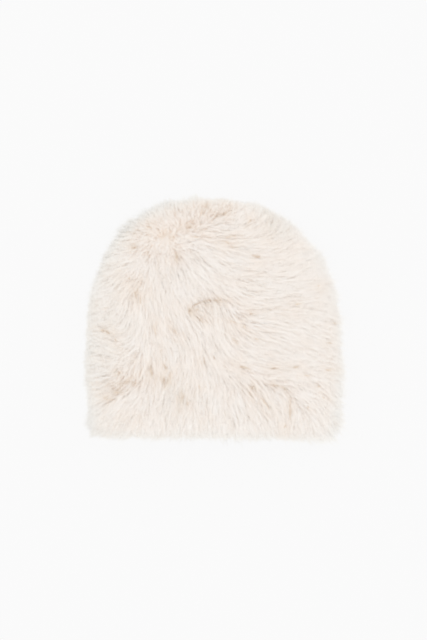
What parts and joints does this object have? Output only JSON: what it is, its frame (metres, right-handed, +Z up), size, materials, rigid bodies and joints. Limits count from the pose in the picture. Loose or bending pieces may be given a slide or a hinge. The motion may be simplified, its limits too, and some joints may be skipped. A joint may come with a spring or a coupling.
{
  "type": "long-pile fur beanie",
  "caption": "Soft dome-shaped beanie with a deep cream pile all over, laid flat with its hollow open at the hem.",
  "frame": {"origin": "centre of the hat's bounding box, on the surface that it lies on", "axes": "+X across the hat, to the right seen from above with the crown away; +Y from the hem to the crown; +Z up out of the front"},
  "size_m": [0.2718, 0.2568, 0.0537],
  "materials": {
    "backing_cloth": "soft knitted backing, matt",
    "cream_pile": "long silky pile, warm towards the roots"
  },
  "bodies": {
    "root": {"crown_shell": "backing_cloth", "fur_pile": "cream_pile"}
  },
  "joints": []
}
